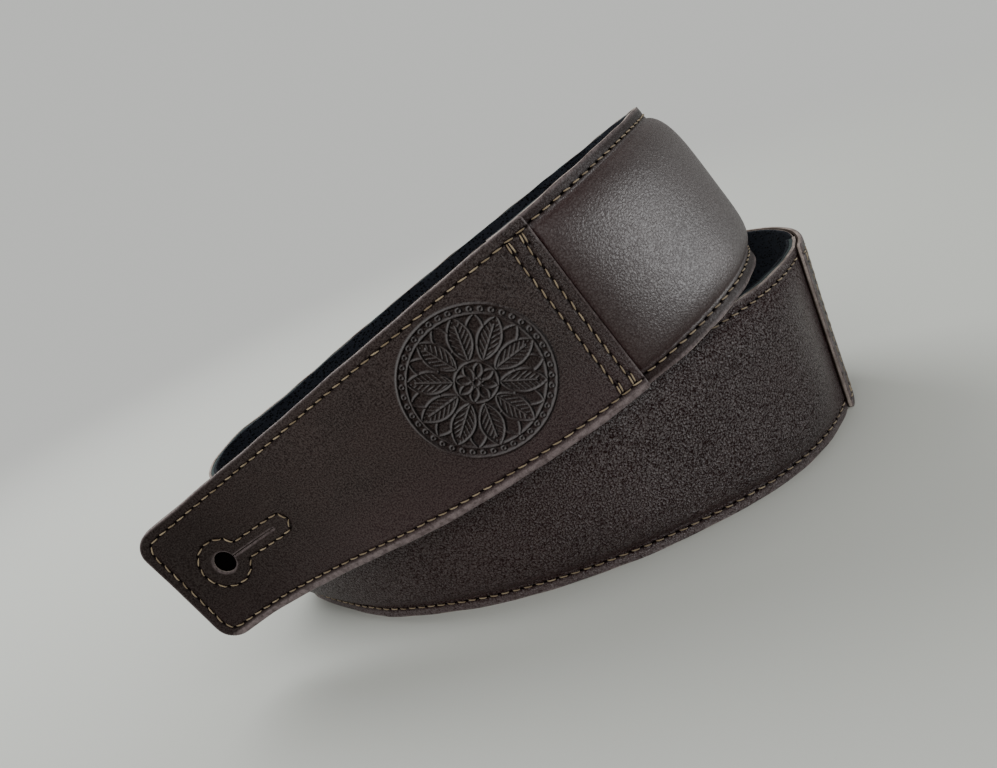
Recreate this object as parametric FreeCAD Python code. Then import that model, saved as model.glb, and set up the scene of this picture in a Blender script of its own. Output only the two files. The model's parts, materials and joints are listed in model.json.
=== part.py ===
"""Padded leather guitar strap, coiled and standing on its long edges.

The strap is one long ribbon. Its path runs from the tail's free end along the
back, round the right bend, along the lower front, round the left bend, up the
back, round the upper right bend and down the upper front to the front tab's tip.
Every layer and every stitch is placed on that path by three numbers: the
distance along the strap, the distance across it from its centre line, and the
height above the outer face of the cover's flat margin.
"""
import FreeCAD, Part
import math
import os

Vector = FreeCAD.Vector

# Strap
STRAP_WIDTH = 76.0
STITCH_MARGIN = 4.2
STITCH_PITCH = 5.0
STITCH_LENGTH = 3.0
THREAD_WIDTH = 0.7
THREAD_HEIGHT = 0.45
THREAD_LIFT = 0.3

# Layers, from the outer face inwards
TAB_LEATHER = 2.4
COVER_LEATHER = 1.3
SPACER_FOAM = 1.5
LINING_MESH = 1.2
TAB_BACKING = 1.6
LAYER_GAP = 0.05
END_LIFT = 0.3

# Padding
PAD_CROWN = 5.6
PAD_EDGE = 6.0
PAD_END_RISE = 16.0

# Front tab
TAB_TIP_WIDTH = 58.0
TAB_CORNER = 9.0
SEAM_OVERLAP = 14.0
SEAM_ROWS = (4.6, 9.9)
SEAM_BACKTACK = 2
HOLE_RADIUS = 4.75
HOLE_FROM_TIP = 24.0
SLIT_LENGTH = 24.5
SLIT_WIDTH = 0.8
KEYHOLE_ROUND = 11.0
KEYHOLE_NECK = 4.5
KEYHOLE_REACH = 38.0

# Tail
TAIL_TAPER_LENGTH = 200.0
TAIL_TIP_WIDTH = 50.0
TAIL_CORNER = 16.0
TAIL_HOLES = (24.0, 76.0, 128.0)

# Path: length (mm), turn about the strap's width (degrees), twist about its length
TAIL_PATH = (
    (131.0, -3.3, 0.0),
    (75.5, -51.3, 0.0),
    (55.0, -64.5, 0.0),
)
LOWER_FRONT_PATH = (
    (73.0, -45.6, 0.0),
    (73.0, -20.8, 0.0),
    (93.0, -28.4, 0.0),
)
LEFT_BEND_PATH = (
    (56.5, -10.7, -10.5),
    (24.0, -44.4, -4.0),
    (33.0, -88.0, -3.9),
)
BACK_PATH = (
    (49.0, 16.8, -4.9),
    (130.5, -26.1, -10.7),
)
UPPER_BEND_PATH = (
    (113.5, -102.0, 3.9),
    (27.0, -17.0, 1.0),
)
UPPER_FRONT_PATH = (
    (55.5, -44.4, -7.8),
)
FRONT_TAB_PATH = (
    (51.5, -12.4, 1.5),
    (51.5, -14.1, 4.6),
    (51.5, 0.6, -3.3),
    (51.5, 23.1, -3.4),
)
PATH = (TAIL_PATH + LOWER_FRONT_PATH + LEFT_BEND_PATH + BACK_PATH
        + UPPER_BEND_PATH + UPPER_FRONT_PATH + FRONT_TAB_PATH)
START_HEADING = -5.0
STATION_SPACING = 6.0
STEP = 0.5


def path_length(path):
    return sum(length for length, turn, twist in path)


TOTAL_LENGTH = path_length(PATH)
TAB_LENGTH = path_length(FRONT_TAB_PATH)
SEAM_AT = TOTAL_LENGTH - TAB_LENGTH
TAIL_SEAM_AT = path_length(TAIL_PATH)


class Frame:
    """Where the strap is at one distance along it, and which way it faces."""

    def __init__(self, at, point, along, across):
        self.at = at
        self.point = point
        self.along = along
        self.across = across
        self.out = across.cross(along)

    def place(self, v, n):
        return self.point + self.across * v + self.out * n


def turned(vector, axis, degrees):
    return FreeCAD.Rotation(axis, degrees).multVec(vector)


def walk_path():
    """Follow the path in small steps and keep a frame at each one."""
    heading = math.radians(START_HEADING)
    point = Vector(0, 0, STRAP_WIDTH / 2)
    along = Vector(math.cos(heading), math.sin(heading), 0)
    across = Vector(0, 0, 1)
    frames = [Frame(0.0, point, along, across)]
    for length, turn, twist in PATH:
        steps = int(round(length / STEP))
        for _ in range(steps):
            along = turned(along, across, turn / steps / 2)
            across = turned(across, along, twist / steps / 2)
            point = point + along * (length / steps)
            across = turned(across, along, twist / steps / 2)
            along = turned(along, across, turn / steps / 2)
            frames.append(Frame(frames[-1].at + length / steps, point, along, across))
    return frames


FRAMES = walk_path()


def frame_at(s):
    """The frame at distance s, measured between the two nearest steps."""
    index = min(max(int(s / STEP), 0), len(FRAMES) - 2)
    first, second = FRAMES[index], FRAMES[index + 1]
    share = (s - first.at) / (second.at - first.at)
    point = first.point + (second.point - first.point) * share
    along = (first.along + (second.along - first.along) * share).normalize()
    across = (first.across + (second.across - first.across) * share).normalize()
    return Frame(s, point, along, across)


def stations(start, end, extra=()):
    """Distances at an even spacing, tied to the whole path, with both ends."""
    low = math.ceil(start / STATION_SPACING + 0.25)
    high = math.floor(end / STATION_SPACING - 0.25)
    inner = [k * STATION_SPACING for k in range(low, high + 1)]
    return sorted({start, end, *inner, *extra})


def band(start, end, section, extra=()):
    """A solid lofted through the section(s) outlines, each a list of (v, n)."""
    wires = []
    for s in stations(start, end, extra):
        frame = frame_at(s)
        corners = [frame.place(v, n) for v, n in section(s)]
        wires.append(Part.makePolygon(corners + corners[:1]))
    solid = Part.Solid(Part.makeLoft(wires, True, True).Shells[0])
    if solid.Volume < 0:
        solid.reverse()
    return solid


def flat_layer(half_width, inner, outer):
    def section(s):
        half = half_width(s)
        return [(-half, inner), (half, inner), (half, outer), (-half, outer)]
    return section


# ---- outlines -------------------------------------------------------------

def smooth(x):
    x = min(max(x, 0.0), 1.0)
    return x * x * (3 - 2 * x)


def end_rounding(distance, corner):
    """How far a rounded corner draws the side in, at a distance from the end."""
    if distance >= corner:
        return 0.0
    return corner - math.sqrt(max(corner ** 2 - (corner - distance) ** 2, 0.0))


def tab_half(s, inset=0.0):
    """Half the front tab's width, or of a line inside its outline."""
    taper = smooth((s - SEAM_AT) / TAB_LENGTH)
    half = (STRAP_WIDTH + (TAB_TIP_WIDTH - STRAP_WIDTH) * taper) / 2 - inset
    return half - end_rounding(TOTAL_LENGTH - inset - s, TAB_CORNER - inset)


def tail_half(s, inset=0.0):
    """Half the tail's width, or of a line inside its outline."""
    taper = smooth(1 - s / TAIL_TAPER_LENGTH)
    half = (STRAP_WIDTH + (TAIL_TIP_WIDTH - STRAP_WIDTH) * taper) / 2 - inset
    return half - end_rounding(s - inset, TAIL_CORNER - inset)


def strap_half(s):
    return STRAP_WIDTH / 2


def corner_distances(corner):
    return [corner * (1 - math.cos(math.radians(a))) for a in (15, 30, 45, 60, 75, 90)]


# ---- padded section -------------------------------------------------------

PAD_START = TAIL_SEAM_AT - SEAM_OVERLAP
PAD_END = SEAM_AT + SEAM_OVERLAP
PROFILE = ((1.0, 0.0), (0.93, 0.42), (0.80, 0.72), (0.55, 0.93), (0.2, 1.0))


def pad_rise(s):
    """Share of the full padding height: none under the sewn ends."""
    inside = min(s - TAIL_SEAM_AT, SEAM_AT - s)
    x = min(max(inside / PAD_END_RISE, 0.0), 1.0)
    return math.sqrt(1 - (1 - x) ** 2)


def crown_line(s, drop=0.0):
    """The padded face across the strap, from the lower margin to the upper."""
    half = STRAP_WIDTH / 2 - PAD_EDGE
    rise = PAD_CROWN * pad_rise(s)
    right = [(half * v, rise * n - drop) for v, n in PROFILE]
    return [(-v, n) for v, n in right] + right[::-1]


def cover_section(s):
    half = STRAP_WIDTH / 2
    outer = [(-half, 0.0)] + crown_line(s) + [(half, 0.0)]
    inner = [(half, -COVER_LEATHER)] + crown_line(s, COVER_LEATHER)[::-1] + [(-half, -COVER_LEATHER)]
    return outer + inner


def foam_section(s):
    base = -COVER_LEATHER + LAYER_GAP
    line = [(v * 0.995, n - LAYER_GAP) for v, n in crown_line(s, COVER_LEATHER)[1:-1]]
    return [(line[0][0], base)] + line + [(line[-1][0], base)]


FOAM_INSET = 5.0


def make_pad():
    rise_stops = [d for a in (1.5, 4.0, 8.0, 12.0, 16.0) for d in (TAIL_SEAM_AT + a, SEAM_AT - a)]
    rise_stops += [TAIL_SEAM_AT, SEAM_AT]
    spacer_out = -COVER_LEATHER - LAYER_GAP
    mesh_out = spacer_out - SPACER_FOAM - LAYER_GAP
    spacer = flat_layer(strap_half, spacer_out - SPACER_FOAM, spacer_out)
    mesh = flat_layer(strap_half, mesh_out - LINING_MESH, mesh_out)
    foam_ends = (TAIL_SEAM_AT + FOAM_INSET, SEAM_AT - FOAM_INSET)
    return {
        "pad_cover_leather": band(PAD_START, PAD_END, cover_section, rise_stops),
        "pad_foam_core": band(*foam_ends, foam_section,
                              [s for s in rise_stops if foam_ends[0] < s < foam_ends[1]]),
        "lining_spacer_foam": band(PAD_START, PAD_END, spacer),
        "lining_mesh": band(PAD_START, PAD_END, mesh),
    }


# ---- end pieces -----------------------------------------------------------

BACKING_OUT = END_LIFT - LAYER_GAP


def keyhole_tools(at, toward):
    """The round hole and the slit that leads from it, as cutting solids."""
    frame = frame_at(at)
    deep, tall = -8.0, 16.0
    hole = Part.makeCylinder(HOLE_RADIUS, tall, frame.place(0, deep), frame.out)
    reach = HOLE_RADIUS + SLIT_LENGTH
    slit = Part.makeBox(reach, SLIT_WIDTH, tall)
    turn = FreeCAD.Rotation(frame.along * toward, frame.across * toward, frame.out, "ZXY")
    corner = frame.place(-SLIT_WIDTH / 2 * toward, deep)
    slit.Placement = FreeCAD.Placement(corner, turn)
    return [hole, slit]


def cut_all(solid, tools):
    for tool in tools:
        solid = solid.cut(tool)
    return solid.Solids[0]


def make_tab():
    start = SEAM_AT
    tip = [TOTAL_LENGTH - d for d in [0.05] + corner_distances(TAB_CORNER)]
    leather = flat_layer(tab_half, END_LIFT, END_LIFT + TAB_LEATHER)
    backing = flat_layer(tab_half, BACKING_OUT - TAB_BACKING, BACKING_OUT)
    tools = keyhole_tools(TOTAL_LENGTH - HOLE_FROM_TIP, -1)
    end = TOTAL_LENGTH
    return {
        "tab_leather": cut_all(band(start, end, leather, tip), tools),
        "tab_backing": cut_all(band(PAD_END + 0.4, end, backing, tip), tools),
    }


def make_tail():
    tip = [0.05] + corner_distances(TAIL_CORNER)
    leather = flat_layer(tail_half, END_LIFT, END_LIFT + TAB_LEATHER)
    backing = flat_layer(tail_half, BACKING_OUT - TAB_BACKING, BACKING_OUT)
    tools = []
    for distance in TAIL_HOLES:
        tools += keyhole_tools(distance, 1)
    return {
        "tail_leather": cut_all(band(0.0, TAIL_SEAM_AT, leather, tip), tools),
        "tail_backing": cut_all(band(0.0, PAD_START - 0.4, backing, tip), tools),
    }


# ---- stitching ------------------------------------------------------------

def resample(points, pitch):
    """Even steps along a flat (s, v) line: middle and direction of each one."""
    lengths = [math.dist(a, b) for a, b in zip(points, points[1:])]
    total = sum(lengths)
    count = max(int(round(total / pitch)), 1)
    places, index, passed = [], 0, 0.0
    for k in range(count):
        target = (k + 0.5) * total / count
        while index < len(lengths) - 1 and passed + lengths[index] < target:
            passed += lengths[index]
            index += 1
        a, b = points[index], points[index + 1]
        share = (target - passed) / lengths[index]
        middle = (a[0] + (b[0] - a[0]) * share, a[1] + (b[1] - a[1]) * share)
        places.append((middle, math.atan2(b[1] - a[1], b[0] - a[0])))
    return places


def stitch(s, v, direction, height):
    frame = frame_at(s)
    forward = frame.along * math.cos(direction) + frame.across * math.sin(direction)
    side = frame.out.cross(forward)
    corner = (frame.place(v, height + THREAD_LIFT)
              - forward * (STITCH_LENGTH / 2) - side * (THREAD_WIDTH / 2))
    bar = Part.makeBox(STITCH_LENGTH, THREAD_WIDTH, THREAD_HEIGHT)
    bar.Placement = FreeCAD.Placement(corner, FreeCAD.Rotation(forward, side, frame.out, "ZXY"))
    return bar


def stitch_row(points, height):
    return [stitch(s, v, direction, height)
            for (s, v), direction in resample(points, STITCH_PITCH)]


def straight(start, end, v):
    steps = max(int(abs(end - start) / 2), 1)
    return [(start + (end - start) * k / steps, v(start + (end - start) * k / steps))
            for k in range(steps + 1)]


def end_outline(half, seam, end, inset, corner, clear):
    """A stitch line down one side, round the end and back up the other side."""
    toward = 1 if end > seam else -1
    last = end - toward * inset
    turn_at = last - toward * (corner - inset)
    side = straight(seam + toward * clear, turn_at, lambda s: half(s, inset))
    width = side[-1][1]
    radius = corner - inset
    bend = [(turn_at + toward * radius * math.sin(math.radians(a)),
             width - radius + radius * math.cos(math.radians(a))) for a in range(15, 91, 15)]
    upper = side + bend
    return upper + [(s, -v) for s, v in reversed(upper)]


def keyhole_outline(at, toward):
    """The stitch line round one keyhole: a round part and a round-ended neck."""
    open_angle = math.degrees(math.asin(KEYHOLE_NECK / KEYHOLE_ROUND))
    line = []
    for k in range(25):
        a = math.radians(open_angle + (360 - 2 * open_angle) * k / 24)
        line.append((at + toward * KEYHOLE_ROUND * math.cos(a), KEYHOLE_ROUND * math.sin(a)))
    neck = at + toward * (KEYHOLE_REACH - KEYHOLE_NECK)
    cap = [(neck + toward * KEYHOLE_NECK * math.sin(math.radians(a)),
            -KEYHOLE_NECK * math.cos(math.radians(a))) for a in range(0, 181, 20)]
    return line + cap + line[:1]


def seam_rows(seam, toward):
    """Two rows across the overlap, each sewn back over itself at both ends."""
    bars = []
    half = STRAP_WIDTH / 2 - STITCH_MARGIN
    height = END_LIFT + TAB_LEATHER
    for distance in SEAM_ROWS:
        s = seam + toward * distance
        bars += stitch_row([(s, -half), (s, half)], height)
        for side in (-1, 1):
            for k in range(SEAM_BACKTACK):
                v = side * (half - STITCH_PITCH * (k + 0.9))
                bars.append(stitch(s - toward * 1.3, v, math.pi / 2, height))
    return bars


def make_stitching():
    top = END_LIFT + TAB_LEATHER
    edge = STRAP_WIDTH / 2 - STITCH_MARGIN
    clear = 1.5
    tab_line = end_outline(tab_half, SEAM_AT, TOTAL_LENGTH, STITCH_MARGIN, TAB_CORNER, 1.0)
    tail_line = end_outline(tail_half, TAIL_SEAM_AT, 0.0, STITCH_MARGIN, TAIL_CORNER, 1.0)
    pad = (TAIL_SEAM_AT + clear, SEAM_AT - clear)
    groups = {
        "pad_upper_stitching": stitch_row(straight(*pad, lambda s: edge), 0.0),
        "pad_lower_stitching": stitch_row(straight(*pad, lambda s: -edge), 0.0),
        "tab_edge_stitching": stitch_row(tab_line, top),
        "tab_seam_stitching": seam_rows(SEAM_AT, 1),
        "tab_keyhole_stitching": stitch_row(
            keyhole_outline(TOTAL_LENGTH - HOLE_FROM_TIP, -1), top),
        "tail_edge_stitching": stitch_row(tail_line, top),
        "tail_seam_stitching": seam_rows(TAIL_SEAM_AT, -1),
    }
    for number, distance in enumerate(TAIL_HOLES, 1):
        groups[f"tail_keyhole_{number}_stitching"] = stitch_row(
            keyhole_outline(distance, 1), top)
    return {name: Part.makeCompound(bars) for name, bars in groups.items()}


def main():
    parts = {}
    parts.update(make_pad())
    parts.update(make_tab())
    parts.update(make_tail())
    parts.update(make_stitching())
    box = FreeCAD.BoundBox()
    for shape in parts.values():
        box.add(shape.BoundBox)
    shift = Vector(-box.Center.x, -box.Center.y, -box.ZMin)
    os.makedirs("parts", exist_ok=True)
    for name, shape in parts.items():
        shape.translate(shift)
        shape.exportStep(f"parts/{name}.step")
        print(name, "valid", shape.isValid(), "solids", len(shape.Solids), "mm3", round(shape.Volume))
    print("box", box.XLength, box.YLength, box.ZLength, "shift", shift)
    for name, at in (("seam", SEAM_AT), ("tail", TAIL_SEAM_AT)):
        frame = frame_at(at)
        print(name, "pivot", frame.point + shift, "across", frame.across, "out", frame.out)
    middle = (END_LIFT + TAB_LEATHER + BACKING_OUT - TAB_BACKING) / 2
    holes = [("tab", TOTAL_LENGTH - HOLE_FROM_TIP)] + [("tail", at) for at in TAIL_HOLES]
    for name, at in holes:
        frame = frame_at(at)
        print(name, "hole", frame.place(0, middle) + shift, "out", frame.out)


main()
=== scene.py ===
"""Looks of the padded leather guitar strap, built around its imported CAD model.

Every piece lies on the strap's path and is placed by three numbers in millimetres:
s along the strap from the tail's end, v across it from its centre line, and n above
the outer face of the cover's flat margin. Each mesh keeps them as its "strap"
attribute, which the materials use for grain, wear and weave.
"""
import json
import math
import random

import bpy
import numpy as np
from mathutils import Matrix, Vector
from mathutils.geometry import delaunay_2d_cdt
from mathutils.kdtree import KDTree


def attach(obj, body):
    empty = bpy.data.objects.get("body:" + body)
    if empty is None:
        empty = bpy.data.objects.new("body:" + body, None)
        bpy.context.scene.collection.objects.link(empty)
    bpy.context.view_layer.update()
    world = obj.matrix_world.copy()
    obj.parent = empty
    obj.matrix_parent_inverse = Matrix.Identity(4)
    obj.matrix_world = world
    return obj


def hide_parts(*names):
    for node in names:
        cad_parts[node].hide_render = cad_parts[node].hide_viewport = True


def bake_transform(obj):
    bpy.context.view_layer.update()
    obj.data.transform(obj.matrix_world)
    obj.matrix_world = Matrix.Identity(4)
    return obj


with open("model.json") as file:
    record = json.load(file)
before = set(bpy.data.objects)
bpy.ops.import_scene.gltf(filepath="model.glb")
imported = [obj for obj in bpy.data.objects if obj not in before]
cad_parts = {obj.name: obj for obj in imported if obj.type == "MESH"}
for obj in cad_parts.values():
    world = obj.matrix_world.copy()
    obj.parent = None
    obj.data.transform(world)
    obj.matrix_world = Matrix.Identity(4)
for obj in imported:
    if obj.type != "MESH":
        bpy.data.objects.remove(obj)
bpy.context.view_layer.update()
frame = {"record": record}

MM = 0.001
FACE, EDGE, BACK = 0, 1, 2
EDGE_POINTS, INNER_POINTS = 4, 21

# Path: length (mm), turn about the strap's width (degrees), twist about its length
TAIL_PATH = (
    (131.0, -3.3, 0.0),
    (75.5, -51.3, 0.0),
    (55.0, -64.5, 0.0),
)
PADDED_PATH = (
    # lower front
    (73.0, -45.6, 0.0),
    (73.0, -20.8, 0.0),
    (93.0, -28.4, 0.0),
    # left bend
    (56.5, -10.7, -10.5),
    (24.0, -44.4, -4.0),
    (33.0, -88.0, -3.9),
    # back
    (49.0, 16.8, -4.9),
    (130.5, -26.1, -10.7),
    # upper right bend and upper front
    (113.5, -102.0, 3.9),
    (27.0, -17.0, 1.0),
    (55.5, -44.4, -7.8),
)
FRONT_TAB_PATH = (
    (51.5, -12.4, 1.5),
    (51.5, -14.1, 4.6),
    (51.5, 0.6, -3.3),
    (51.5, 23.1, -3.4),
)
PATH = TAIL_PATH + PADDED_PATH + FRONT_TAB_PATH
START_HEADING = -5.0
STEP = 0.5

# Strap
STRAP_WIDTH = 76.0
HALF = STRAP_WIDTH / 2
STITCH_MARGIN = 4.2
STITCH_PITCH = 5.0
SEAM_OVERLAP = 14.0
SEAM_ROWS = (4.6, 9.9)
BACKTACK = 5.4
STITCH_ROW = HALF - STITCH_MARGIN
OUTLINE_SPACING = 0.95

# Layers
END_LEATHER = 2.4
COVER_LEATHER = 1.3
SPACER_FOAM = 1.5
LINING_MESH = 1.2
BACKING = 1.6
LAYER_GAP = 0.05
END_LIFT = 0.3

# Padding
PAD_CROWN = 5.6
PAD_HALF = 32.0
CROWN_POWER = 5.0
CROWN_ROUND = 0.62
CROWN_FOOT = 0.09
PAD_SEWN_FROM_SEAM = 1.5
FOAM_HALF = 30.5
FOAM_LOWEST = -1.1
PAD_END_RISE = 13.0
TAIL_RISE = 40.0

# Ends
TAB_TIP_WIDTH = 58.0
TAB_CORNER = 9.0
TAIL_TIP_WIDTH = 50.0
TAIL_TAPER_LENGTH = 200.0
TAIL_CORNER = 16.0
CUT_CORNER = 1.2
HOLE_RADIUS = 4.75
HOLE_FROM_TIP = 24.0
SLIT_LENGTH = 24.5
SLIT_WIDTH = 0.45
BACKING_CUT = 0.1
SHARP_CORNER = 0.3
EDGE_ROUNDING = 0.7
# Width of the tab's lower margin strip that is painted pale as light
PAINTED_LIGHT_STRIP = 3.2
RING_INSETS = (0.12, 0.3, 0.55, 1.0)
FAR_INSIDE = 9.0
TAIL_HOLES = (24.0, 76.0, 128.0)
KEYHOLE_ROUND = 11.0
KEYHOLE_NECK = 4.5
KEYHOLE_REACH = 38.0

# Pressed rosette on the front tab
ROSETTE_FROM_SEAM = 46.5
ROSETTE_ACROSS = 2.0
ROSETTE_RADIUS = 28.5

# Spans at the joints: over what length, and on which side of its seam the tail lies
BEND_LENGTH = 40.0
TAIL_SIDE = (-0.3, 0.95, 0.0)

# Thread: its radius, and how each stitch leans, reaches between holes and arches
THREAD_RADIUS = 0.28
THREAD_SLANT = 0.20
THREAD_REACH = 0.35
THREAD_ARCH = 0.24
TAIL_THREAD_SUNK = 0.25


def path_length(path):
    return sum(length for length, turn, twist in path)


TOTAL_LENGTH = path_length(PATH)
TAIL_SEAM_AT = path_length(TAIL_PATH)
SEAM_AT = TOTAL_LENGTH - path_length(FRONT_TAB_PATH)
PAD_START = TAIL_SEAM_AT - SEAM_OVERLAP
PAD_END = SEAM_AT + SEAM_OVERLAP
HOLE_AT = TOTAL_LENGTH - HOLE_FROM_TIP
ROSETTE_AT = SEAM_AT + ROSETTE_FROM_SEAM
END_TOP = END_LIFT + END_LEATHER
PAD_SEWN = (TAIL_SEAM_AT + PAD_SEWN_FROM_SEAM, SEAM_AT - PAD_SEWN_FROM_SEAM)
PAD_SEWN_LENGTH = PAD_SEWN[1] - PAD_SEWN[0]
PAD_PITCH = PAD_SEWN_LENGTH / round(PAD_SEWN_LENGTH / STITCH_PITCH)

# Stretches of the cover over which its sheen, then its margins' painted shade and light, change to the
# upper front's
SHEEN_CHANGE = (SEAM_AT - 330, SEAM_AT - 210)
MARGIN_CHANGE = (SEAM_AT - 230, SEAM_AT - 170)


# ---- the strap's path ----

def turned(vector, axis, degrees):
    return Matrix.Rotation(math.radians(degrees), 3, axis) @ vector


class Ribbon:
    """The strap's path, walked in small steps."""

    def __init__(self):
        heading = math.radians(START_HEADING)
        point = Vector((0, 0, HALF))
        along = Vector((math.cos(heading), math.sin(heading), 0))
        across = Vector((0, 0, 1))
        at, rows = 0.0, [(0.0, *point, *along, *across)]
        for length, turn, twist in PATH:
            steps = int(round(length / STEP))
            for _ in range(steps):
                along = turned(along, across, turn / steps / 2)
                across = turned(across, along, twist / steps / 2)
                point = point + along * (length / steps)
                across = turned(across, along, twist / steps / 2)
                along = turned(along, across, turn / steps / 2)
                at += length / steps
                rows.append((at, *point, *along, *across))
        table = np.array(rows)
        self.at = table[:, 0]
        self.point, self.along, self.across = table[:, 1:4], table[:, 4:7], table[:, 7:10]
        self.point += self.shift_to_joint("tab_flex", SEAM_AT)

    def shift_to_joint(self, name, s):
        """What moves the path so that it passes the CAD joint at distance s."""
        joint = next(j for j in frame["record"]["behaviour"]["joints"] if j["name"] == name)
        return np.array(joint["pos_m"]) / MM - self.look(self.point, np.array([s]))[0]

    def look(self, rows, s):
        return np.stack([np.interp(s, self.at, rows[:, k]) for k in range(3)], axis=1)

    def place(self, s, v, n):
        """Points in metres for arrays of s, v and n in millimetres."""
        s, v, n = np.broadcast_arrays(*(np.asarray(x, float) for x in (s, v, n)))
        s, v, n = s.ravel(), v.ravel(), n.ravel()
        beyond = s - np.clip(s, 0, TOTAL_LENGTH)
        along = self.look(self.along, s)
        across = self.look(self.across, s)
        out = np.cross(across, along)
        point = self.look(self.point, s) + along * beyond[:, None]
        return (point + across * v[:, None] + out * n[:, None]) * MM


ribbon = Ribbon()


# ---- unevenness ----

def waves(x, seed, lengths, size):
    """A smooth uneven line through x: sines of a few lengths with seeded phases."""
    rng = random.Random(seed)
    total = 0.0
    for length in lengths:
        total = total + np.sin(2 * np.pi * (np.asarray(x) / length + rng.random()))
    return size * total / len(lengths)


def ripples(s, v, seed, length, size):
    """Smooth uneven ground: sines that run in seeded directions over s and v."""
    rng = random.Random(seed)
    total = 0.0
    for _ in range(7):
        angle = rng.uniform(0, math.pi)
        step = length * rng.uniform(0.6, 1.7)
        run = s * math.cos(angle) + v * math.sin(angle)
        total = total + np.sin(2 * np.pi * (run / step + rng.random()))
    return size * total / 2.6


def bump(distance, width):
    return np.exp(-(np.asarray(distance) / width) ** 2)


def smooth(x):
    x = np.clip(x, 0.0, 1.0)
    return x * x * (3 - 2 * x)


# ---- mesh making ----

def make_piece(name, corners, faces, strap, face_kinds=None, marks=None):
    """A mesh object with smooth faces, the strap attribute and its marks.

    marks gives for each point the painted shade of the needle slots (above 0) or the rubbed rim,
    with the painted light of the tab's lower margin strip (below 0), then the painted highlight
    and the painted shade on the pressed pattern's slopes, 0 to 1.
    """
    mesh = bpy.data.meshes.new(name)
    mesh.from_pydata(corners.tolist(), [], faces)
    mesh.shade_smooth()
    for key, values in (("strap", strap), ("marks", marks)):
        if values is not None:
            attribute = mesh.attributes.new(key, "FLOAT_VECTOR", "POINT")
            attribute.data.foreach_set("vector", np.asarray(values, np.float32).ravel())
    if face_kinds is not None:
        mesh.polygons.foreach_set("material_index", np.asarray(face_kinds, np.int32))
    piece = bpy.data.objects.new(name, mesh)
    bpy.context.scene.collection.objects.link(piece)
    return piece


def band(name, stations, section, darkness=None):
    """A closed band: section(s) gives a ring's v, n and kinds of face at each station."""
    v_rows, n_rows, ring_kinds = zip(*(section(s) for s in stations))
    v, n, kinds = np.array(v_rows), np.array(n_rows), ring_kinds[0]
    count, ring = v.shape
    s = np.repeat(stations[:, None], ring, axis=1)
    corners = ribbon.place(s, v, n)
    faces, face_kinds = [], []
    for i in range(count - 1):
        a, b = i * ring, (i + 1) * ring
        for k in range(ring):
            m = (k + 1) % ring
            faces.append((a + k, b + k, b + m, a + m))
            face_kinds.append(kinds[k])
    faces.append(tuple(range(ring)))
    faces.append(tuple(reversed(range((count - 1) * ring, count * ring))))
    face_kinds += [EDGE, EDGE]
    strap = np.stack([s.ravel(), v.ravel(), n.ravel()], axis=1)
    marks = None
    if darkness:
        outer = np.arange(ring) <= kinds.count(FACE)
        marks = np.zeros((len(strap), 3))
        marks[:, 0] = np.where(outer, darkness(s, v), 0.0).ravel()
    return make_piece(name, corners, faces, strap, face_kinds, marks)


def band_section(outer_v, outer_n, inner_n, half, soft):
    """One station's ring: the outer face, a rounded edge, the inner face, an edge."""
    inner_v = np.linspace(1, -1, INNER_POINTS) * (half - soft)
    top, bottom = outer_n[-1], inner_n
    right_v = [half - soft * 0.3, half, half, half - soft * 0.3]
    right_n = [top - soft * 0.3, top - soft, bottom + soft, bottom + soft * 0.3]
    left_v = [-x for x in reversed(right_v)]
    left_n = list(reversed(right_n))
    v = np.concatenate([outer_v, right_v, inner_v, left_v])
    n = np.concatenate([outer_n, right_n, np.full(INNER_POINTS, bottom), left_n])
    edge_kinds = [EDGE] * (EDGE_POINTS + 1)
    inner_kinds = [BACK] * (INNER_POINTS - 1)
    return v, n, [FACE] * (len(outer_v) - 1) + edge_kinds + inner_kinds + edge_kinds


def inner_face(outer_v):
    """Which points of a ring made by band_section lie on its inner face."""
    start = len(outer_v) + EDGE_POINTS
    return slice(start, start + INNER_POINTS)


# ---- stitch lines ----

class StitchLine:
    """Needle holes along a line of (s, v) points, and the stitches between them."""

    def __init__(self, points, closed=False):
        points = np.array(points, float)
        if closed:
            points = np.vstack([points, points[:1]])
        steps = np.hypot(*np.diff(points, axis=0).T)
        run = np.concatenate([[0], np.cumsum(steps)])
        count = max(int(round(run[-1] / STITCH_PITCH)), 1)
        self.holes = self.at(points, run, np.linspace(0, run[-1], count + 1))
        fine = np.linspace(0, run[-1], count * 9 + 1)
        self.thread = self.at(points, run, fine)
        ahead = np.gradient(self.thread, axis=0)
        ahead /= np.hypot(*ahead.T)[:, None]
        self.side = np.stack([-ahead[:, 1], ahead[:, 0]], axis=1)
        self.stitches = list(zip(self.holes[:-1], self.holes[1:]))

    @staticmethod
    def at(points, run, places):
        return np.stack([np.interp(places, run, points[:, k]) for k in range(2)], axis=1)

    def mesh_points(self):
        """Points beside the line, dense enough to show each needle hole."""
        offsets = (-1.9, -1.3, -0.85, -0.45, 0.0, 0.45, 0.85, 1.3, 1.9)
        return np.vstack([self.thread + self.side * d for d in offsets])


def distances(points, cloud):
    """From each (s, v) point to the nearest of the cloud's points."""
    tree = KDTree(len(cloud))
    for index, (s, v) in enumerate(cloud):
        tree.insert((s, v, 0), index)
    tree.balance()
    return np.array([tree.find((s, v, 0))[2] for s, v in points])


def from_stitches(points, lines):
    """From each (s, v) point to the nearest thread and to the nearest needle hole."""
    return (distances(points, np.vstack([line.thread for line in lines])),
            distances(points, np.vstack([line.holes for line in lines])))


def stitched(points, lines):
    """How far thread and needle holes pull the leather down at each point."""
    from_thread, from_hole = from_stitches(points, lines)
    swell = 0.09 * bump(from_thread - 1.7, 0.7)
    return swell - 0.24 * bump(from_thread, 0.7) - 0.40 * bump(from_thread, 0.4) * bump(from_hole, 1.0)


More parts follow.
